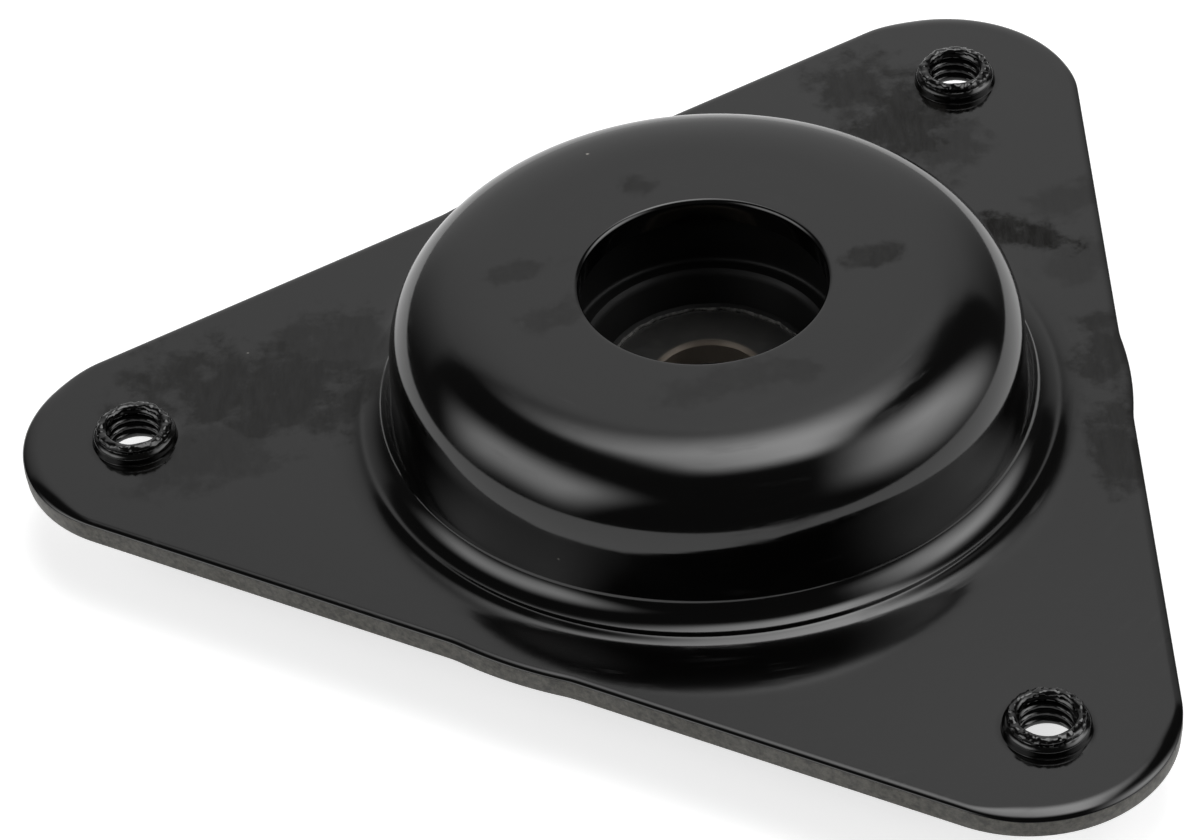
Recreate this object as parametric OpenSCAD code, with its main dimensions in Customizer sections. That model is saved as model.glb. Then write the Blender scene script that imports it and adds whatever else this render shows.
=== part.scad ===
// Strut mount for a suspension strut: a pressed triangular plate with a drawn dome, bolted up under
// the body's strut tower, and a rubber isolator in the dome that carries the strut's rod.
// Millimetres, +Z up. The origin is the centre of the bolt circle, on the face that meets the tower.

/* [Plate] */
// Thickness of the plate's steel sheet
sheet_t = 3.2; // [2.6:0.1:4]
// Diameter of the circle through the three threaded collars
bolt_circle_d = 150; // [140:1:180]
// How far each collar stands out beyond the centre of its corner's arc
collar_offset = 4; // [0:0.5:8]
// Radius of the plate's three corners
corner_r = 18.8; // [16:0.2:24]
// Width of the flat land between the foot of the dome and the round part of the plate's edge
land_w = 8.4; // [7:0.2:14]

/* [Dome] */
// Height of the dome's top above the plate's top face
dome_h = 20.2; // [17:0.2:28]
// Radius at which the dome's foot runs out into the flat plate
dome_foot_r = 46.5; // [43:0.5:50]
// Radius of the hollow fillet round the dome's foot
foot_fillet_r = 5; // [3:0.5:6]
// Radius of the dome's shoulder
shoulder_r = 9.6; // [8:0.1:12]
// Lean of the dome's wall from upright, in degrees
wall_lean = 6; // [3:0.5:10]
// Diameter of the round opening in the dome's top
opening_d = 32; // [30:0.2:36]
// Radius of the drawn-in upper edge of the opening
opening_edge_r = 0.6; // [0.4:0.1:1.4]

/* [Threaded collars] */
// Diameter of the hole at the crests of the thread
thread_bore_d = 6.7; // [6:0.1:8.5]
// Outside diameter of a collar
collar_d = 10.9; // [10:0.1:13]
// Height of a collar above the plate's top face
collar_h = 2.5; // [1.5:0.1:4]
// Radius where the sheet turns up into the collar, on the underside
collar_entry_r = 1.2; // [0.6:0.1:1.6]
// Radius of the fillet round the collar's foot
collar_root_r = 0.6; // [0.2:0.1:1]
// Radius of the collar's outer rim
collar_rim_r = 0.6; // [0.2:0.1:0.9]
// Width of the chamfer that leads into the thread
thread_chamfer = 0.5; // [0.2:0.1:0.8]

/* [Inner insert] */
// Diameter of the bore for the strut's rod
rod_bore_d = 14; // [10:0.5:16]
// Thickness of the insert's steel
insert_t = 4; // [3:0.2:5]
// Height of the nut's seat above the plate's top face
seat_h = 4; // [2:0.2:6]
// How far the insert's flange stands above the nut's seat
dish_rise = 4; // [3:0.2:5]
// Slope of the insert's dish, in degrees
dish_slope = 45; // [40:1:60]
// Inner radius of the two bends in the insert's dish
dish_bend_r = 2; // [1:0.1:2.4]
// Radius of the insert's rounded outer edge
insert_edge_r = 1.4; // [0.6:0.1:1.4]
// Width of the chamfers at both ends of the rod bore
bore_chamfer = 0.5; // [0.2:0.1:0.8]

/* [Rubber isolator] */
// Diameter of bare nut seat inside the rubber's lip
seat_d = 26.6; // [24:0.2:28]
// Width of the thin lip of rubber round the nut's seat
lip_w = 0.9; // [0.6:0.1:1.4]
// Height of the lip above the nut's seat
lip_h = 0.7; // [0.4:0.1:1.2]
// Diameter of the throat at its ledge
ledge_d = 32.4; // [31.6:0.2:33]
// Height of the ledge above the nut's seat
ledge_h = 5; // [4.6:0.1:6]
// Radius of the rounded edges in the throat
throat_round = 0.6; // [0.3:0.1:0.9]
// How far the throat above the ledge stands back from the dome's opening
throat_setback = 2; // [1.6:0.1:3]
// Thickness of rubber outside the insert's flange
rubber_cover = 7; // [5:0.5:9]
// Distance from the flat of the nut's seat out to the lower hollow's wall
hollow_margin = 5.6; // [3:0.2:6]
// Room between the rubber's side and the steel around it
rubber_clear = 0.3; // [0.1:0.1:0.6]

/* [Lower retainer] */
// Thickness of the retainer's steel
retainer_t = 2.3; // [1.6:0.1:3]
// Depth of the retainer's dish below the plate's underside
retainer_h = 8.8; // [8.2:0.2:12]
// How far the retainer's flange reaches out past the foot of the dome
flange_lap = 5; // [3:0.5:6]
// Inner radius of the retainer's bends
retainer_bend_r = 1.5; // [1:0.1:1.5]
// Diameter of the hole in the retainer's floor
retainer_hole_d = 52; // [50:1:58]
// Radius of the turned edge of that hole
hole_edge_r = 0.8; // [0.4:0.1:1]
// Width of the rubber that shows inside that hole
mouth_lip = 2; // [1:0.2:2.4]

/* [Hidden] */
$fn = 128;
overlap = 1;
// Blending arcs cross the lines that they round off by this much, so that they meet at clean points
blend_slack = 0.0002;

corner_angles = [180, 300, 60];
side_angles = [0, 120, 240];
bolt_r = bolt_circle_d / 2;
corner_centre_r = bolt_r - collar_offset;
side_length = corner_centre_r * sqrt(3);
side_r = corner_centre_r / 2 + corner_r - blend_slack;
land_r = dome_foot_r + land_w;
plate_under = -sheet_t;

// The dome's section, on its outer face
dome_ring_r = dome_foot_r + flange_lap / 2;
foot_r = dome_foot_r - foot_fillet_r * tan(45 - wall_lean / 2);
across_wall = [cos(wall_lean), sin(wall_lean)];
function wall_r(z) = foot_r - z * tan(wall_lean);
function inner_wall_r(z) = wall_r(z) - sheet_t / cos(wall_lean);
foot_centre = [dome_foot_r, foot_fillet_r];
shoulder_centre = [wall_r(dome_h) - shoulder_r * tan(45 - wall_lean / 2), dome_h - shoulder_r];
dome_under = dome_h - sheet_t;
opening_r = opening_d / 2;

collar_r = collar_d / 2;
thread_bore_r = thread_bore_d / 2;
collar_pad_r = collar_r + collar_root_r + overlap;

// The insert's dish, whose corners lie on its upper face
rod_bore_r = rod_bore_d / 2;
insert_under = seat_h - insert_t;
seat_r = seat_d / 2;
dish_start_r = seat_r - lip_w / 2;
half_bend = tan(dish_slope / 2);
flange_top = seat_h + dish_rise;
flange_under = flange_top - insert_t;
dish_low = [dish_start_r + dish_bend_r * half_bend, seat_h];
dish_high = [dish_low[0] + dish_rise / tan(dish_slope), flange_top];
across_slope = [sin(dish_slope), -cos(dish_slope)];
under_shift = insert_t * [half_bend, -1];
low_bend = [dish_start_r, seat_h + dish_bend_r];
high_bend = dish_high + (insert_t + dish_bend_r) * [half_bend, -1];

rubber_round = shoulder_r - sheet_t;
rubber_r = shoulder_centre[0] + rubber_round * cos(wall_lean) - rubber_clear;
insert_r = rubber_r - rubber_cover;
ledge_r = ledge_d / 2;
ledge_z = seat_h + ledge_h;
throat_r = opening_r + throat_setback;
hollow_r = dish_start_r + hollow_margin;

retainer_bottom = plate_under - retainer_h;
retainer_floor = retainer_bottom + retainer_t;
retainer_hole_r = retainer_hole_d / 2;
dish_in_r = rubber_r + rubber_clear;
dish_out_r = dish_in_r + retainer_t;
flange_r = dome_foot_r + flange_lap;
flange_bend = [dish_out_r + retainer_bend_r, plate_under - retainer_t - retainer_bend_r];
floor_bend = [dish_in_r - retainer_bend_r, retainer_floor + retainer_bend_r];
mouth_r = retainer_hole_r - mouth_lip;
rubber_foot_round = retainer_bend_r + rubber_clear;

paint = [0.09, 0.09, 0.1];
rubber = [0.05, 0.05, 0.05];
bare_steel = [0.32, 0.31, 0.3];

// Rectangle in a section, from one corner to the opposite one
module block(low, high) {
    translate(low)
        square(high - low);
}

// Kite from a bend's centre out past its corner, between two angles
module kite(radius, from, to) {
    reach = 1.3 * radius;
    half = (from + to) / 2;
    polygon([
        [0, 0],
        reach * [cos(from), sin(from)],
        reach * [cos(half), sin(half)] / cos((to - from) / 2),
        reach * [cos(to), sin(to)]
    ]);
}

// Bend in a sheet's section: part of a ring between two angles
module bend(centre, inner_r, outer_r, from, to) {
    translate(centre)
        intersection() {
            difference() {
                circle(r = outer_r);
                circle(r = inner_r);
            }
            kite(outer_r, from, to);
        }
}

// What lies between a sloping corner and the arc that blends it, seen from the arc's centre
module corner_gap(centre, radius, from, to) {
    translate(centre)
        difference() {
            kite(radius, from, to);
            circle(r = radius + blend_slack);
        }
}

// Disc that hollows out a bend about its centre
module hollow(centre, radius) {
    translate(centre)
        circle(r = radius + blend_slack);
}

// What lies outside a rounded square corner: material is on the side that the signs point to
module corner_waste(corner, radius, x_sign, y_sign) {
    translate(corner)
        mirror([x_sign < 0 ? 1 : 0, 0])
            mirror([0, y_sign < 0 ? 1 : 0])
                difference() {
                    block([-overlap, -overlap], [radius, radius]);
                    translate([radius, radius])
                        circle(r = radius);
                }
}

// Fillet that fills a square inside corner, on the side that the signs point to
module corner_fill(corner, radius, x_sign, y_sign) {
    translate(corner)
        mirror([x_sign < 0 ? 1 : 0, 0])
            mirror([0, y_sign < 0 ? 1 : 0])
                difference() {
                    block([0, 0], [radius, radius]);
                    translate([radius, radius])
                        circle(r = radius);
                }
}

// Puts its children at the centre of each corner's threaded collar
module at_collars() {
    for (angle = corner_angles)
        translate(bolt_r * [cos(angle), sin(angle)])
            children();
}

// Flat blank: a triangle with round corners, and a disc that stands just proud of its sides
module plate_blank() {
    linear_extrude(sheet_t)
        polygon([
            for (angle = side_angles, end = [-1, 1])
                side_r * [cos(angle), sin(angle)] + end * side_length / 2 * [-sin(angle), cos(angle)]
        ]);
    for (angle = corner_angles)
        translate(corner_centre_r * [cos(angle), sin(angle)])
            cylinder(r = corner_r, h = sheet_t);
    cylinder(r = land_r, h = sheet_t);
}

// Half section of all that lies under the dome's outer face
module dome_outside() {
    difference() {
        polygon([
            [0, plate_under],
            [0, dome_h],
            [wall_r(dome_h), dome_h],
            foot_centre - foot_fillet_r * across_wall,
            foot_centre,
            [dome_foot_r, 0],
            [dome_ring_r + overlap, 0],
            [dome_ring_r + overlap, plate_under]
        ]);
        hollow(foot_centre, foot_fillet_r);
        corner_gap(shoulder_centre, shoulder_r, wall_lean, 90);
    }
}

// Half section of the hollow under the dome, one sheet's thickness inside its outer face
module dome_inside() {
    difference() {
        polygon([
            [0, plate_under - overlap],
            [0, dome_under],
            [inner_wall_r(dome_under), dome_under],
            [inner_wall_r(plate_under), plate_under],
            [inner_wall_r(plate_under), plate_under - overlap]
        ]);
        corner_gap(shoulder_centre, shoulder_r - sheet_t, wall_lean, 90);
    }
    corner_gap(foot_centre, foot_fillet_r + sheet_t, 180 + wall_lean, 270);
}

// Section of the drawn dome, from the opening's edge down to the flat plate
module dome_section() {
    difference() {
        dome_outside();
        dome_inside();
        block([0, 0], [opening_r, dome_h + overlap]);
        corner_waste([opening_r, dome_h], opening_edge_r, 1, -1);
    }
}

// Section of a collar drawn up out of the sheet, about its own axis
module collar_section() {
    difference() {
        union() {
            block([thread_bore_r, plate_under], [collar_pad_r + overlap, 0]);
            block([thread_bore_r, 0], [collar_r, collar_h]);
            corner_fill([collar_r, 0], collar_root_r, 1, 1);
        }
        corner_waste([thread_bore_r, plate_under], collar_entry_r, 1, 1);
        corner_waste([collar_r, collar_h], collar_rim_r, -1, -1);
        polygon([
            [thread_bore_r, collar_h - thread_chamfer],
            [thread_bore_r + thread_chamfer, collar_h],
            [thread_bore_r, collar_h]
        ]);
    }
}

module mount_plate() {
    color(paint) {
        translate([0, 0, plate_under])
            difference() {
                plate_blank();
                translate([0, 0, -overlap])
                    cylinder(r = dome_ring_r, h = sheet_t + 2 * overlap);
                at_collars()
                    translate([0, 0, -overlap])
                        cylinder(r = collar_pad_r, h = sheet_t + 2 * overlap);
            }
        rotate_extrude()
            dome_section();
        at_collars()
            rotate_extrude()
                collar_section();
    }
}

// Section of the dished insert, from the rod bore out to its rounded edge
module insert_section() {
    difference() {
        polygon([
            [rod_bore_r, insert_under],
            [rod_bore_r, seat_h],
            [low_bend[0], seat_h],
            low_bend,
            low_bend + dish_bend_r * across_slope,
            dish_high,
            [insert_r, flange_top],
            [insert_r, flange_under],
            [high_bend[0], flange_under],
            high_bend,
            high_bend - dish_bend_r * across_slope,
            dish_low + under_shift
        ]);
        hollow(low_bend, dish_bend_r);
        hollow(high_bend, dish_bend_r);
        for (end = [insert_under, seat_h])
            translate([rod_bore_r, end])
                rotate(45)
                    square(bore_chamfer * sqrt(2), center = true);
        corner_gap(low_bend, dish_bend_r + insert_t, 270, 270 + dish_slope);
        corner_gap(high_bend, dish_bend_r + insert_t, 90, 90 + dish_slope);
        corner_waste([insert_r, flange_top], insert_edge_r, -1, -1);
        corner_waste([insert_r, flange_under], insert_edge_r, -1, 1);
    }
}

module inner_insert() {
    color(bare_steel)
        rotate_extrude()
            insert_section();
}

// Section of the open throat above the nut's seat: a lip, a cone up to the ledge, and a wider neck
module throat_section() {
    polygon([
        [0, seat_h],
        [seat_r, seat_h],
        [seat_r, seat_h + lip_h / 2],
        [seat_r + lip_w, seat_h + lip_h],
        [ledge_r - throat_round, ledge_z - throat_round],
        [ledge_r, ledge_z],
        [0, ledge_z]
    ]);
    difference() {
        block([0, ledge_z], [throat_r, dome_under + overlap]);
        corner_fill([throat_r, ledge_z], throat_round, -1, 1);
    }
    corner_fill([throat_r, dome_under], throat_round, 1, -1);
}

// Section of the moulding before the insert takes its place in it
module rubber_section() {
    difference() {
        block([0, retainer_floor], [rubber_r, dome_under]);
        corner_waste([rubber_r, dome_under], rubber_round, -1, -1);
        corner_waste([rubber_r, retainer_floor], rubber_foot_round, -1, 1);
        throat_section();
        polygon([
            [0, retainer_floor - overlap],
            [mouth_r, retainer_floor - overlap],
            [mouth_r, retainer_floor],
            [hollow_r, insert_under],
            [hollow_r, seat_h],
            [0, seat_h]
        ]);
    }
}

module rubber_isolator() {
    color(rubber)
        rotate_extrude()
            difference() {
                rubber_section();
                insert_section();
            }
}

// Section of the pressed retainer, from its flange under the plate to the hole in its floor
module retainer_section() {
    block([flange_bend[0], plate_under - retainer_t], [flange_r, plate_under]);
    bend(flange_bend, retainer_bend_r, retainer_bend_r + retainer_t, 90, 180);
    block([dish_in_r, floor_bend[1]], [dish_out_r, flange_bend[1]]);
    bend(floor_bend, retainer_bend_r, retainer_bend_r + retainer_t, 270, 360);
    difference() {
        block([retainer_hole_r, retainer_bottom], [floor_bend[0], retainer_floor]);
        corner_waste([retainer_hole_r, retainer_bottom], hole_edge_r, 1, 1);
    }
}

module lower_retainer() {
    color(paint)
        rotate_extrude()
            retainer_section();
}

mount_plate();
rubber_isolator();
inner_insert();
lower_retainer();
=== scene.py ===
from math import asin, cos, degrees, pi, radians, sin, sqrt, tan

import bmesh
import bpy
from mathutils import Matrix, Vector, noise
from mathutils.geometry import delaunay_2d_cdt


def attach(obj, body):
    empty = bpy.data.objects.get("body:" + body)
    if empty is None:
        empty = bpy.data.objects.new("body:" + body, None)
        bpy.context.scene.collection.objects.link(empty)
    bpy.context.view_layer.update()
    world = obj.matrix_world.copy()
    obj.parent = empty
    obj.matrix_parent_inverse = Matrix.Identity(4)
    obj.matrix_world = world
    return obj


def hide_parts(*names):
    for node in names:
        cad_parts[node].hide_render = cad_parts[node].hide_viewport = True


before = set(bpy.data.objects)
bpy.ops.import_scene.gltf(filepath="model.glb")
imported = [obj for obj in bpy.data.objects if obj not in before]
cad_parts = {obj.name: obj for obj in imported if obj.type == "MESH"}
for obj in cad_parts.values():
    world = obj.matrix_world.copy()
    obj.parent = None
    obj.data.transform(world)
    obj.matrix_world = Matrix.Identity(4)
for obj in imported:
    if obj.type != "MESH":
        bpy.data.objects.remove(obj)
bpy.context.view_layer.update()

MM = 0.001

# Sizes in millimetres, as in the part's source
SHEET = 3.2
BOLT_R = 75.0
CORNER_AT = 71.0
CORNER_R = 18.8
SIDE_AT = 54.3
LAND_R = 54.9
DOME_H = 20.2
FOOT_R = 46.5
FOOT_FILLET = 5.0
SHOULDER = (31.231, 10.6)
SHOULDER_R = 9.6
LEAN = 6.0
OPENING_R = 16.0
OPENING_EDGE = 0.6
BORE_R = 3.35
ROOT_R = 4.0
PITCH = 1.25
RUBBER_R = 37.296
THROAT_R = 18.0
FLANGE_R = 51.5
CORNERS = (60, 180, 300)

# Where the round meshes meet the flat ones, and how many spokes each has
SPOKES = 256
RING_AT = 51.2
PAD_SPOKES = 120
PAD_R = 8.0

# Forming marks of this one pressing: the dome's lean as a rise per millimetre, and the edge's roll in degrees
DOME_SKEW = 0.012
ROLL_TURN = 84

# The floor, just under the part
FLOOR_HALF = 6.0
FLOOR_AT = -0.01205


# Sections and meshes

def arc(centre, radius, start, end, steps):
    """Points on an arc of a section, from one angle to another in degrees."""
    return [(centre[0] + radius * cos(radians(start + (end - start) * i / steps)),
             centre[1] + radius * sin(radians(start + (end - start) * i / steps)))
            for i in range(steps + 1)]


def line(start, end, steps):
    """Points along a straight part of a section, without its first point."""
    return [(start[0] + (end[0] - start[0]) * i / steps, start[1] + (end[1] - start[1]) * i / steps)
            for i in range(1, steps + 1)]


def smooth(low, high, value):
    t = min(max((value - low) / (high - low), 0.0), 1.0)
    return t * t * (3 - 2 * t)


def ripple(angle, seed):
    """A smooth uneven wave round a circle, from about -1 to 1."""
    waves = (sin(k * angle + seed * (1.7 + 0.61 * k) + k * k) / (1 + 0.28 * k) for k in range(2, 11))
    return sum(waves) / 2.6


class Shell:
    """Collects surfaces in millimetres and joins them into one closed mesh."""

    def __init__(self):
        self.points = []
        self.faces = []
        self.marks = []

    def rows(self, rows, mark=0, closed=False):
        """Joins rows of points, each row a closed loop."""
        base = len(self.points)
        count = len(rows[0])
        for row in rows:
            self.points.extend(row)
        for i in range(len(rows) if closed else len(rows) - 1):
            a = base + i * count
            b = base + (i + 1) % len(rows) * count
            for j in range(count):
                k = (j + 1) % count
                self.faces.append((a + j, a + k, b + k, b + j))
                self.marks.append(mark)

    def revolve(self, profile, spokes=SPOKES, mark=0, closed=False):
        self.rows([[(r * cos(2 * pi * j / spokes), r * sin(2 * pi * j / spokes), z) for j in range(spokes)]
                   for r, z in profile], mark, closed)

    def flat(self, outer, holes, z, mark=0):
        """Fills a flat region inside a loop, round holes given as a centre, a radius and spokes."""
        points, edges = [], []
        for loop in [outer] + [circle(*hole) for hole in holes]:
            base = len(points)
            points.extend(Vector(p) for p in loop)
            edges.extend((base + i, base + (i + 1) % len(loop)) for i in range(len(loop)))
        found, _, faces, _, _, _ = delaunay_2d_cdt(points, edges, [], 1, 1e-7)
        base = len(self.points)
        self.points.extend((p.x, p.y, z) for p in found)
        for face in faces:
            middle = sum((found[i] for i in face), Vector((0, 0))) / len(face)
            if all((middle - Vector(centre)).length > radius for centre, radius, _ in holes):
                self.faces.append(tuple(base + i for i in face))
                self.marks.append(mark)

    def build(self, name, materials, crease=35):
        mesh = bpy.data.meshes.new(name)
        mesh.from_pydata([Vector(p) * MM for p in self.points], [], self.faces)
        for material in materials:
            mesh.materials.append(material)
        mesh.polygons.foreach_set("material_index", self.marks)
        work = bmesh.new()
        work.from_mesh(mesh)
        bmesh.ops.remove_doubles(work, verts=work.verts, dist=2e-7)
        loose = [v for v in work.verts if not v.link_faces]
        bmesh.ops.delete(work, geom=loose, context="VERTS")
        bmesh.ops.recalc_face_normals(work, faces=work.faces)
        work.to_mesh(mesh)
        work.free()
        mesh.shade_smooth()
        mesh.set_sharp_from_angle(angle=radians(crease))
        obj = bpy.data.objects.new(name, mesh)
        bpy.context.scene.collection.objects.link(obj)
        return obj


def circle(centre, radius, spokes):
    return [(centre[0] + radius * cos(2 * pi * j / spokes), centre[1] + radius * sin(2 * pi * j / spokes))
            for j in range(spokes)]


# The plate's outline, and the way its sheared edge rolls over

def outline():
    """Points of the plate's edge with their outward normals and how far they are round a corner, 0 to 1."""
    found = []
    length = CORNER_AT * sqrt(3)
    for corner in CORNERS:
        steps = 72
        for i in range(steps):
            angle = radians(corner - 60 + 120 * i / steps)
            centre = (CORNER_AT * cos(radians(corner)), CORNER_AT * sin(radians(corner)))
            found.append((centre[0] + CORNER_R * cos(angle), centre[1] + CORNER_R * sin(angle),
                          cos(angle), sin(angle), smooth(0, 14, min(i, steps - i))))
        normal = Vector((cos(radians(corner + 60)), sin(radians(corner + 60))))
        along = Vector((-normal.y, normal.x))
        steps = 130

        def edge(t):
            bump = sqrt(max(0.0, LAND_R ** 2 - t * t)) - SIDE_AT
            return SIDE_AT + (bump + sqrt(bump * bump + 0.006)) / 2

        for i in range(steps):
            t = -length / 2 + length * i / steps
            slope = (edge(t + 0.01) - edge(t - 0.01)) / 0.02
            point = normal * edge(t) + along * t
            out = (normal - along * slope).normalized()
            found.append((point.x, point.y, out.x, out.y, 0.0))
    return found


def edge_rows():
    """Loops of points from the flat top, over the rolled edge and down the sheared side."""
    edge = outline()
    rows = []

    def row(place):
        made = []
        for x, y, nx, ny, round_ in edge:
            inward, z = place(round_)
            made.append((x - nx * inward, y - ny * inward, z))
        rows.append(made)

    def width(c):
        return 1.1 + 1.1 * c

    def depth(c):
        return 0.4 + 0.4 * c

    full = radians(ROLL_TURN)
    row(lambda c: (width(c) + 0.3, 0.0))
    steps = 12
    for k in range(steps + 1):
        turn = radians(ROLL_TURN * k / steps)
        row(lambda c: (width(c) * (1 - sin(turn) / sin(full)), -depth(c) * (1 - cos(turn))))
    shear = len(rows) - 1
    for k in range(1, 6):
        part = k / 5

        def side(c):
            top = -depth(c) * (1 - cos(full))
            return 0.14 * smooth(0.35, 1, part), top + (-SHEET + 0.12 - top) * part
        row(side)
    for inward, z in ((0.2, -SHEET + 0.03), (0.34, -SHEET), (0.7, -SHEET)):
        row(lambda c: (inward, z))
    return rows, shear


def thread_radius(angle, z):
    """Radius inside a collar: the thread, with its lead-in above and its flare below."""
    turn = (z / PITCH - angle / (2 * pi)) % 1.0
    height = smooth(0.1, 0.46, 0.5 - abs(turn - 0.5))
    fade = smooth(-2.6, -1.8, z) * (1 - smooth(1.5, 2.0, z))
    radius = BORE_R + (ROOT_R - BORE_R) * height * fade
    radius += 0.27 * smooth(1.4, 2.12, z) * (1 - height * fade)
    below = -2.0 - z
    if below > 0:
        radius = max(radius, BORE_R + 1.2 - sqrt(max(0.0, 1.44 - below * below)))
    return radius


def collar_rows(seed):
    """Loops of points from the pad round a collar, over its torn rim and down through its thread."""
    foot = [(PAD_R, 0), (6.4, 0), (5.72, 0.0), (5.6, 0.02), (5.54, 0.1), (5.51, 0.3)]
    band = [(5.5, 0.52), (5.5, 0.7), (5.48, 0.88), (5.42, 1.05), (5.31, 1.22), (5.16, 1.36), (5.0, 1.45)]
    groove = [(4.89, 1.5), (4.86, 1.56), (4.9, 1.66)]
    crown = [(4.96, 1.8), (4.95, 1.95), (4.87, 2.1), (4.73, 2.23), (4.54, 2.33), (4.32, 2.39), (4.1, 2.4),
             (3.9, 2.36), (3.74, 2.26), (3.62, 2.12)]
    outside = foot + band + groove + crown
    angles = [2 * pi * j / PAD_SPOKES for j in range(PAD_SPOKES)]
    steps = 62
    last = outside[-1][1]
    inside = [last + (-SHEET - last) * k / steps for k in range(1, steps + 1)]
    rows = []
    for n, z in enumerate([z for _, z in outside] + inside):
        rough = smooth(1.3, 1.75, z)
        made = []
        for a in angles:
            r = outside[n][0] if n < len(outside) else thread_radius(a, z)
            lump = ripple(a, seed)
            place = Vector((r * cos(a), r * sin(a), z)) * 1.5 + Vector((seed, 0, 9))
            grit = noise.fractal(place, 1.0, 2.1, 3)
            r += rough * (0.07 * lump + 0.14 * grit)
            made.append((r * cos(a), r * sin(a), z + rough * (0.10 * ripple(a, seed + 1.9) + 0.13 * grit)))
        rows.append(made)
    for r in (6.0, PAD_R):
        rows.append([(r * cos(a), r * sin(a), -SHEET) for a in angles])
    return rows


def tilt_curve(points, height):
    """Section points that follow a list of radius and slope in degrees, from a starting height."""
    made = [(points[0][0], height)]
    for (r0, t0), (r1, t1) in zip(points, points[1:]):
        made.append((r1, made[-1][1] - (r1 - r0) * tan(radians((t0 + t1) / 2))))
    return made


def dome_profile():
    """Section of the drawn dome: its outer face up to the opening, and back along its underside."""
    ring = [(50.0, 0), (49.0, 1.2), (48.3, 3), (47.7, 5), (47.2, 7.2), (46.9, 9.2), (46.65, 12),
            (46.45, 15.5), (46.25, 18.5), (46.08, 20.5), (45.93, 21), (45.79, 19), (45.66, 14), (45.54, 8.5),
            (45.42, 4), (45.3, 3), (45.15, 6), (45.0, 10.5), (44.8, 14.5), (44.5, 18), (44.2, 21.5),
            (43.95, 25)]
    outer = [(RING_AT, 0)] + tilt_curve(ring, 0.0)
    fillet = ((4.05, 25, 55, 9), (3.0, 55, 72, 6), (2.5, 72, 79, 4))
    wall = (46, 79, 88, 8)
    for radius, low, high, steps in (*fillet, wall):
        r, z = outer[-1]
        for k in range(1, steps + 1):
            tilt = low + (high - low) * k / steps
            outer.append((r - radius * (sin(radians(tilt)) - sin(radians(low))),
                          z + radius * (cos(radians(low)) - cos(radians(tilt)))))
    radius, widest, crown, top = 9.8, 41.06, (26.0, 33.0), DOME_H
    turn = degrees(asin((crown[1] - widest + radius) / radius))
    steps = 14
    rise = tilt_curve([(crown[0] + (crown[1] - crown[0]) * k / steps, turn * (k / steps) ** 2)
                       for k in range(steps + 1)], top)
    middle = (widest - radius, rise[-1][1] - radius * cos(radians(turn)))
    shoulder = arc(middle, radius, 3.2, 90 - turn, 32)
    outer += shoulder + rise[-2::-1]
    outer += line(outer[-1], (OPENING_R + OPENING_EDGE + 0.3, top), 5)
    outer += arc((OPENING_R + OPENING_EDGE, top - OPENING_EDGE), OPENING_EDGE, 90, 180, 8)
    under = DOME_H - SHEET
    inner = line(outer[-1], (OPENING_R, under + 0.15), 4) + [(OPENING_R + 0.15, under)]
    inner += line(inner[-1], (SHOULDER[0], under), 4)[:-1]
    inner += arc(SHOULDER, SHOULDER_R - SHEET, 90, LEAN, 14)
    foot = arc((FOOT_R, FOOT_FILLET), FOOT_FILLET + SHEET, 180 + LEAN, 270, 14)
    inner += line(inner[-1], foot[0], 3)[:-1] + foot + [(FOOT_R + 0.35, -SHEET), (RING_AT, -SHEET)]
    return outer, inner


def mount_plate(paint, sheared):
    shell = Shell()
    outer, inner = dome_profile()
    shell.revolve(outer + inner)
    for i in range(len(outer) * SPOKES):
        x, y, z = shell.points[i]
        shell.points[i] = (x, y, z + DOME_SKEW * y * smooth(0, 16, z))
    rows, shear = edge_rows()
    shell.rows(rows[:shear + 1])
    shell.rows(rows[shear:-2], mark=1)
    shell.rows(rows[-3:])
    spots = [(BOLT_R * cos(radians(a)), BOLT_R * sin(radians(a))) for a in CORNERS]
    for seed, spot in enumerate(spots):
        collar = collar_rows(seed * 2.1 + 0.4)
        shell.rows([[(x + spot[0], y + spot[1], z) for x, y, z in row] for row in collar])
    holes = [((0, 0), RING_AT, SPOKES)] + [(spot, PAD_R, PAD_SPOKES) for spot in spots]
    shell.flat([p[:2] for p in rows[0]], holes, 0.0)
    shell.flat([p[:2] for p in rows[-1]], holes, -SHEET)
    return shell.build("plate_pressing", [paint, sheared])


# Sections of the round pieces

def insert_parts():
    """The insert's upper face from its bore outward, and its lower face back in."""
    start, slope = 12.85, 45
    low, high = (start, 6.0), (20.1632, 2.0)
    upper = [(7.0, 3.5), (7.5, 4.0)] + line((7.5, 4.0), (start - 0.2, 4.0), 6)
    upper += arc(low, 2, 270, 270 + slope, 8)
    upper += arc(high, 6, 90 + slope, 90, 10)
    rim = RUBBER_R - 8.4
    upper += arc((rim, 6.6), 1.4, 90, 0, 8)
    lower = arc((rim, 5.4), 1.4, 0, -90, 8)
    lower += arc(high, 2, 90, 90 + slope, 8)
    lower += arc(low, 6, 270 + slope, 270, 10)
    lower += [(7.5, 0.0), (7.0, 0.5)]
    return upper, lower


def inner_insert(steel):
    upper, lower = insert_parts()
    shell = Shell()
    shell.revolve(upper + lower + line(lower[-1], upper[0], 6)[:-1], closed=True)
    return shell.build("seat_insert", [steel])


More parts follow.
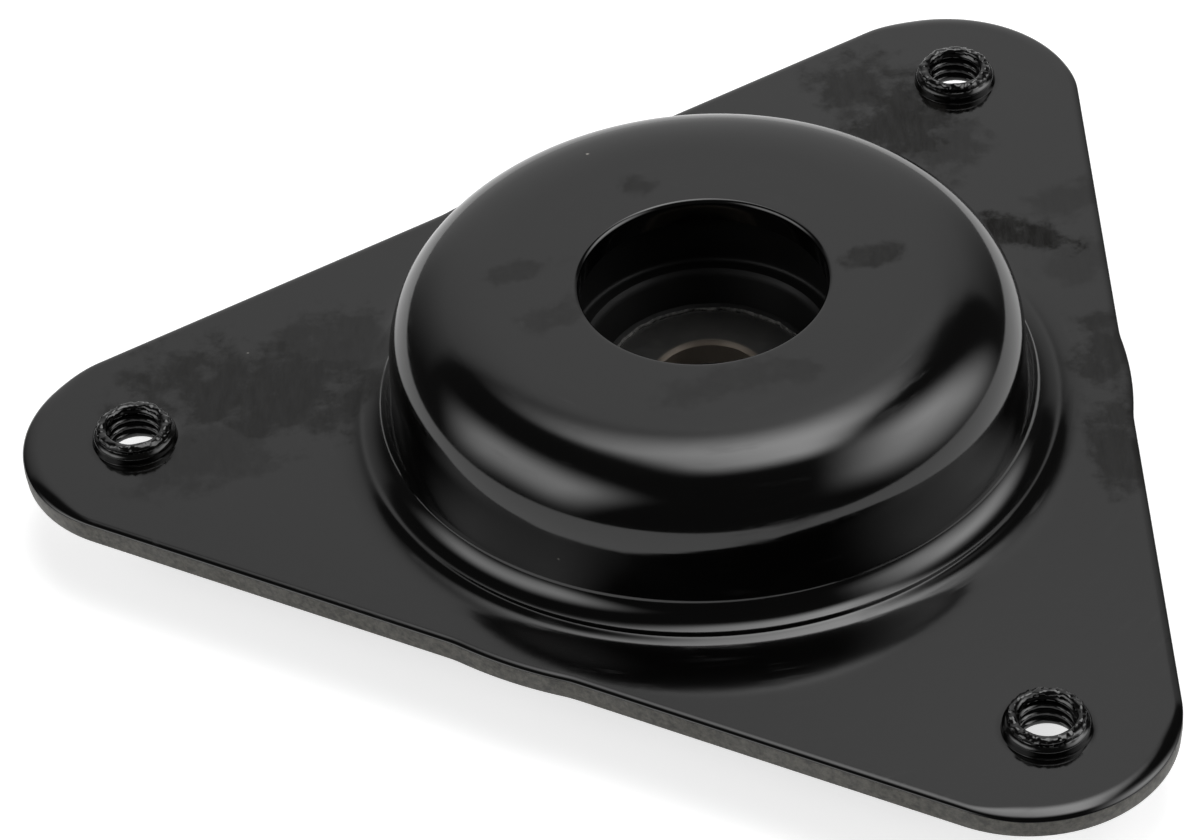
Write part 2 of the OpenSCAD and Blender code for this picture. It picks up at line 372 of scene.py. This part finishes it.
def rubber_isolator(rubber, torn):
    upper, lower = insert_parts()
    over = [p for p in upper if p[0] > 13.4]
    under = [p for p in lower if p[0] > 18.5]
    throat = [(13.3, 4.06), (13.32, 4.3), (13.55, 4.52), (14.2, 4.7)]
    throat += line(throat[-1], (15.6, 8.4), 10)
    ledge = THROAT_R - 0.6
    throat += [(15.85, 8.72), (16.2, 9.0)] + line((16.2, 9.0), (ledge, 9.0), 3)
    throat += arc((ledge, 9.6), 0.6, 270, 360, 6)[1:]
    throat += line((THROAT_R, 9.6), (THROAT_R, 16.4), 8) + arc((THROAT_R + 0.6, 16.4), 0.6, 180, 90, 6)[1:]
    round_ = SHOULDER_R - SHEET
    body = line(throat[-1], (RUBBER_R - round_, 17.0), 4)[:-1]
    body += arc((RUBBER_R - round_, 17.0 - round_), round_, 90, 0, 16)
    body += line(body[-1], (RUBBER_R, -7.9), 5)[:-1] + arc((RUBBER_R - 1.8, -7.9), 1.8, 0, -90, 8)
    body += line(body[-1], (24.0, -9.7), 5)
    body += line((24.0, -9.7), (18.45, 0.0), 10) + line((18.45, 0.0), (18.45, 3.25), 3)
    shell = Shell()
    profile = throat + body + under[::-1] + over[::-1]
    angles = [2 * pi * j / SPOKES for j in range(SPOKES)]
    torn_out = [0.6 * ripple(a, 5.1) + 0.9 * noise.fractal(Vector((cos(a), sin(a), 0.4)) * 9, 1.0, 2.0, 3)
                for a in angles]
    torn_up = [ripple(a * 4, 2.2) for a in angles]
    lip = ((0.34, 0.0), (0.32, 0.05), (0.2, 0.1), (0.06, 0.06))
    rows = []
    for n, (r, z) in enumerate(profile):
        out, up = lip[n] if n < len(lip) else (0.0, 0.0)
        rows.append([((r + out * o) * cos(a), (r + out * o) * sin(a), z + up * u)
                     for a, o, u in zip(angles, torn_out, torn_up)])
    shell.rows(rows[:3], mark=1)
    shell.rows(rows[2:] + rows[:1])
    return shell.build("rubber_moulding", [rubber, torn])


def lower_retainer(paint):
    top = -SHEET
    flange, floor = (RUBBER_R + 4.1, -7.0), (RUBBER_R - 1.2, -8.2)
    upper = [(FLANGE_R - 0.1, top)] + line((FLANGE_R - 0.1, top), (flange[0], top), 6)
    upper += arc(flange, 3.8, 90, 180, 12)[1:]
    upper += arc(floor, 1.5, 0, -90, 8)
    upper += line(upper[-1], (26.15, -9.7), 4)
    lower = [(26.0, -9.85)] + line((26.0, -9.85), (26.0, -11.2), 3) + arc((26.8, -11.2), 0.8, 180, 270, 7)[1:]
    lower += line(lower[-1], (floor[0], -12.0), 4)[:-1] + arc(floor, 3.8, -90, 0, 12)
    lower += arc(flange, 1.5, 180, 90, 8)
    lower += line(lower[-1], (FLANGE_R - 0.1, -5.5), 4) + [(FLANGE_R, -5.4), (FLANGE_R, top - 0.1)]
    shell = Shell()
    shell.revolve(upper + lower, closed=True)
    return shell.build("retainer_dish", [paint])


# Materials

class Nodes:
    """A small helper that adds and joins nodes in a tree."""

    def __init__(self, owner, coordinates):
        owner.use_nodes = True
        self.tree = owner.node_tree
        self.place = self.add("ShaderNodeTexCoord").outputs[coordinates]

    def add(self, kind, inputs=None, **settings):
        node = self.tree.nodes.new(kind)
        for key, value in settings.items():
            setattr(node, key, value)
        for key, value in (inputs or {}).items():
            self.feed(node.inputs[key], value)
        return node

    def feed(self, socket, value):
        if isinstance(value, bpy.types.NodeSocket):
            self.tree.links.new(value, socket)
        else:
            socket.default_value = value

    def noise(self, scale, detail=2.0, rough=0.5, place=None):
        node = self.add("ShaderNodeTexNoise", {
            "Vector": place or self.place, "Scale": scale, "Detail": detail, "Roughness": rough})
        return node.outputs["Fac"]

    def span(self, value, low, high, to_low=0.0, to_high=1.0, shape="LINEAR"):
        return self.add("ShaderNodeMapRange", {
            "Value": value, "From Min": low, "From Max": high, "To Min": to_low, "To Max": to_high},
            interpolation_type=shape).outputs["Result"]

    def step(self, value, low, high):
        """Smooth step that rises from low to high, or falls where low is above high."""
        if low < high:
            return self.span(value, low, high, 0.0, 1.0, "SMOOTHSTEP")
        return self.span(value, high, low, 1.0, 0.0, "SMOOTHSTEP")

    def math(self, operation, a, b=0.0):
        return self.add("ShaderNodeMath", {0: a, 1: b}, operation=operation).outputs[0]

    def product(self, *values):
        result = values[0]
        for value in values[1:]:
            result = self.math("MULTIPLY", result, value)
        return result

    def total(self, *values):
        result = values[0]
        for value in values[1:]:
            result = self.math("ADD", result, value)
        return result

    def split(self, vector):
        return self.add("ShaderNodeSeparateXYZ", {0: vector}).outputs

    def blend(self, fac, a, b):
        node = self.add("ShaderNodeMix", {0: fac}, data_type="RGBA")
        self.feed(node.inputs[6], a if isinstance(a, bpy.types.NodeSocket) else (*a, 1))
        self.feed(node.inputs[7], b if isinstance(b, bpy.types.NodeSocket) else (*b, 1))
        return node.outputs[2]

    def bump(self, height, strength, distance, normal=None):
        inputs = {"Height": height, "Strength": strength, "Distance": distance}
        if normal:
            inputs["Normal"] = normal
        return self.add("ShaderNodeBump", inputs).outputs["Normal"]


class Look(Nodes):
    """A procedural material."""

    def __init__(self, name):
        self.material = bpy.data.materials.new(name)
        super().__init__(self.material, "Object")
        self.shader = self.tree.nodes["Principled BSDF"]

    def set(self, **values):
        for key, value in values.items():
            self.feed(self.shader.inputs[key.replace("_", " ")], value)

    def spots(self, places):
        """Mask of ragged ovals: a middle and half widths in millimetres, a turn in degrees, a strength."""
        masks = []
        ragged = self.span(self.noise(210.0, 4.0, 0.65), 0.3, 0.7, -0.5, 0.5)
        for x, y, z, wide, tall, turn, strength in places:
            local = self.add("ShaderNodeMapping", {
                "Vector": self.place, "Location": Vector((x, y, z)) * MM, "Rotation": (0, 0, radians(turn)),
                "Scale": (wide * MM, tall * MM, 4 * MM)}, vector_type="TEXTURE").outputs[0]
            reach = self.add("ShaderNodeVectorMath", {0: local}, operation="LENGTH").outputs["Value"]
            worn = self.step(self.math("ADD", reach, ragged), 1.1, 0.5)
            masks.append(self.product(worn, strength))
        result = masks[0]
        for mask in masks[1:]:
            result = self.math("MAXIMUM", result, mask)
        return result


# Wiped and handled places on the plate and on the dome's top
SMUDGES = (
    (-59, 8, 0, 20, 11, -10, 0.62), (-66, -4, 0, 12, 8, 30, 0.35), (-49, 16, 0, 11, 8, 0, 0.45),
    (30, 57, 0, 8, 12, -20, 0.8), (24, 65, 0, 7, 9, -10, 0.65), (35, 50, 0, 6, 8, -20, 0.5),
    (44, 30, 0, 8, 4.2, -25, 1.0), (50, 37, 0, 9, 4, 25, 0.35), (50, 24, 0, 6, 6, 0, 0.3),
    (52, 4, 0, 5, 9, 0, 0.65), (52, -14, 0, 5, 11, 10, 0.65),
    (22.2, 3, 20.2, 4.2, 2.6, 10, 0.7), (-7.5, 20, 20.2, 3.2, 2.2, 0, 0.5),
    (-23.5, 4.6, 20.2, 5.5, 2.2, 15, 0.4), (-19, -5, 20.2, 8, 3, 25, 0.35), (4, -20, 20.2, 12, 3.2, 12, 0.3),
)


def black_paint():
    n = Look("black_paint")
    cloud = n.noise(45.0, 4.0, 0.6)
    fine = n.noise(1500.0, 2.0)
    peel = n.noise(330.0, 1.0)
    scuff = n.noise(190.0, 5.0, 0.7)
    wiped = n.add("ShaderNodeMapping", {"Vector": n.place, "Scale": (1.0, 0.22, 1.0)}).outputs[0]
    smudge = n.product(n.spots(SMUDGES), n.step(scuff, 0.2, 0.46),
                       n.span(n.noise(900.0, 4.0, 0.7, wiped), 0.35, 0.65, 0.78, 1.06))
    x, y, z = n.split(n.place)
    angle = n.math("ARCTAN2", y, x)
    radius = n.math("SQRT", n.total(n.product(x, x), n.product(y, y)))
    drawn = n.add("ShaderNodeCombineXYZ", {0: n.product(angle, 4.0), 1: n.product(radius, 900.0),
                                           2: n.product(z, 900.0)}).outputs[0]
    streak = n.product(n.step(n.noise(1.0, 3.0, 0.6, drawn), 0.52, 0.72),
                       n.step(n.noise(70.0, 2.0), 0.48, 0.62))
    cell = n.add("ShaderNodeTexVoronoi", {"Vector": n.place, "Scale": 150.0})
    dust = n.product(n.step(cell.outputs["Distance"], 0.045, 0.02),
                     n.step(n.split(cell.outputs["Color"])[0], 0.86, 0.9))
    base = n.blend(cloud, (0.0006, 0.0006, 0.0006), (0.0012, 0.0011, 0.001))
    base = n.blend(smudge, base, (0.005, 0.0045, 0.0037))
    wear = n.total(n.span(cloud, 0.3, 0.7, 0.08, 0.115), n.product(smudge, 0.1), n.product(streak, 0.12))
    height = n.total(n.product(fine, 0.12), peel, n.product(streak, 0.35), n.product(dust, 2.0))
    n.set(Base_Color=n.blend(dust, base, (0.22, 0.21, 0.19)), Roughness=n.total(wear, n.product(dust, 0.5)),
          IOR=1.57, Specular_IOR_Level=n.span(smudge, 0, 1, 0.5, 0.08), Normal=n.bump(height, 0.03, 0.00015))
    return n.material


def sheared_paint_and_painted_reflection():
    n = Look("sheared_edge_and_painted_reflection")
    grain = n.noise(1100.0, 4.0, 0.7)
    patch = n.noise(140.0, 3.0)
    # The sheared side's colour is partly its own rough brownish paint and partly a painted reflection: both
    # tones are lighter than the black paint, standing in for the pale floor reflected in the side.
    n.set(Base_Color=n.blend(n.span(grain, 0.35, 0.65), (0.024, 0.0225, 0.0185), (0.1, 0.095, 0.08)),
          Roughness=n.span(patch, 0.3, 0.7, 0.4, 0.6), IOR=1.57, Normal=n.bump(grain, 0.45, 0.0001))
    return n.material


def black_rubber():
    n = Look("rubber")
    skin = n.noise(700.0, 3.0, 0.6)
    bloom = n.noise(120.0, 3.0)
    n.set(Base_Color=n.blend(bloom, (0.0016, 0.0016, 0.0016), (0.004, 0.0039, 0.0037)),
          Roughness=n.span(bloom, 0.3, 0.7, 0.46, 0.6), IOR=1.38, Specular_IOR_Level=0.36,
          Normal=n.bump(skin, 0.14, 0.00006))
    return n.material


def torn_rubber():
    n = Look("torn_lip")
    grain = n.noise(1300.0, 3.0, 0.6)
    n.set(Base_Color=n.blend(n.span(grain, 0.35, 0.65), (0.012, 0.012, 0.0115), (0.12, 0.117, 0.11)),
          Roughness=n.span(grain, 0.3, 0.7, 0.55, 0.75), IOR=1.45, Normal=n.bump(grain, 0.3, 0.00008))
    return n.material


def seat_steel():
    n = Look("insert_steel")
    grain = n.noise(900.0, 3.0, 0.6)
    stain = n.noise(150.0, 4.0, 0.6)
    x, y, _ = n.split(n.place)
    radius = n.math("SQRT", n.total(n.product(x, x), n.product(y, y)))
    grey = n.blend(n.span(stain, 0.35, 0.65), (0.024, 0.024, 0.0235), (0.036, 0.035, 0.033))
    n.set(Base_Color=n.blend(n.step(radius, 0.0079, 0.0071), grey, (0.19, 0.16, 0.13)),
          Metallic=0.3, Roughness=n.span(grain, 0.3, 0.7, 0.36, 0.5), IOR=1.5, Specular_IOR_Level=0.3,
          Normal=n.bump(grain, 0.2, 0.00006))
    return n.material


# The four pieces, each in its CAD node's place

paint = black_paint()
PIECES = (
    (mount_plate(paint, sheared_paint_and_painted_reflection()), "mount_plate", "black_paint"),
    (rubber_isolator(black_rubber(), torn_rubber()), "rubber_isolator", "rubber"),
    (inner_insert(seat_steel()), "inner_insert", "insert_steel"),
    (lower_retainer(paint), "lower_retainer", "retainer_paint"),
)
for piece, node, finish in PIECES:
    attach(piece, "root")
    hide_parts(node)


# Studio: a pale floor under a world of soft panels

scene = bpy.context.scene
scene.view_settings.view_transform = "Standard"

floor_mesh = bpy.data.meshes.new("floor")
corners = [(x * FLOOR_HALF, y * FLOOR_HALF, FLOOR_AT) for x, y in ((-1, -1), (1, -1), (1, 1), (-1, 1))]
floor_mesh.from_pydata(corners, [], [(0, 1, 2, 3)])
pale = Look("floor")
path = pale.add("ShaderNodeLightPath").outputs
rays = pale.total(path["Is Camera Ray"], path["Is Glossy Ray"], path["Is Transmission Ray"])
seen = pale.math("MINIMUM", rays, 1.0)
fx, fy, _ = pale.split(pale.place)
# Painted shade: the floor's glow is taken away in a disc under the part, fully within 30 mm of the middle and
# fading out by 45 mm, so the floor there is dark.
outside_painted_shade = pale.step(pale.math("SQRT", pale.total(pale.product(fx, fx), pale.product(fy, fy))), 0.03, 0.045)
glow = pale.total(pale.product(seen, 0.35), pale.product(path["Is Camera Ray"], 0.3))
pale.set(Base_Color=pale.blend(pale.noise(3.0), (0.79, 0.79, 0.79), (0.81, 0.81, 0.81)), Roughness=0.9,
         Specular_IOR_Level=0.0, Emission_Color=(1, 1, 1, 1), Emission_Strength=pale.product(outside_painted_shade, glow))
floor_mesh.materials.append(pale.material)
floor = bpy.data.objects.new("floor", floor_mesh)
scene.collection.objects.link(floor)


def studio():
    """A dark room with a pale backdrop behind, a softbox overhead and one at each side in front."""
    world = bpy.data.worlds.new("studio")
    scene.world = world
    n = Nodes(world, "Generated")
    x, y, z = n.split(n.place)
    away = n.product(n.math("ARCCOSINE", z), 180 / pi)
    level = n.math("MAXIMUM", n.math("SQRT", n.total(n.product(x, x), n.product(y, y))), 1e-4)
    side = n.math("DIVIDE", n.product(away, x), level)
    back = n.math("DIVIDE", n.product(away, y), level)

    def box(middle, half, turn, soft, light, grade):
        """A soft-edged panel on a map of degrees from the zenith, with a light that changes across it."""
        c, s = cos(radians(turn)), sin(radians(turn))
        u = n.total(n.product(side, c), n.product(back, s), -c * middle[0] - s * middle[1])
        v = n.total(n.product(side, -s), n.product(back, c), s * middle[0] - c * middle[1])
        inside = n.product(n.step(n.math("ABSOLUTE", u), half[0] + soft[0], half[0] - soft[0]),
                           n.step(n.math("ABSOLUTE", v), half[1] + soft[1], half[1] - soft[1]))
        graded = n.total(n.product(u, grade[0]), n.product(v, grade[1]), light)
        return n.product(inside, n.math("MAXIMUM", graded, 0.05))

    light = n.total(
        box((2.7, 18.6), (11.9, 18.3), 14.5, (6.0, 10.0), 3.7, (0.131, -0.003)),
        box((64.5, -6.9), (25.1, 27.1), 18.8, (19.0, 16.0), 2.54, (-0.074, 0.058)),
        box((-58.4, -17.8), (17.2, 29.5), 22.5, (15.0, 15.0), 2.44, (0.065, -0.009)),
        box((-0.9, 84.9), (30.0, 41.2), 6.1, (39.6, 2.3), 0.9, (-0.002, 0.004)),
        0.045)
    n.feed(n.tree.nodes["Background"].inputs["Strength"], light)
    n.tree.nodes["Background"].inputs["Color"].default_value = (1, 1, 1, 1)


studio()


# Camera at the photo's angle

view = bpy.data.cameras.new("photo_view")
view.lens = 162
view.sensor_width = 36
view.sensor_fit = "HORIZONTAL"
view.clip_start = 0.05
camera = bpy.data.objects.new("photo_view", view)
camera.matrix_world = (Matrix.Translation(Vector((-7.74, -534.19, 456.75)) * MM)
                       @ Matrix.Rotation(radians(0.72), 4, "Z")
                       @ Matrix.Rotation(radians(90 - 40.66), 4, "X")
                       @ Matrix.Rotation(radians(-4.27), 4, "Z"))
scene.collection.objects.link(camera)
scene.camera = camera
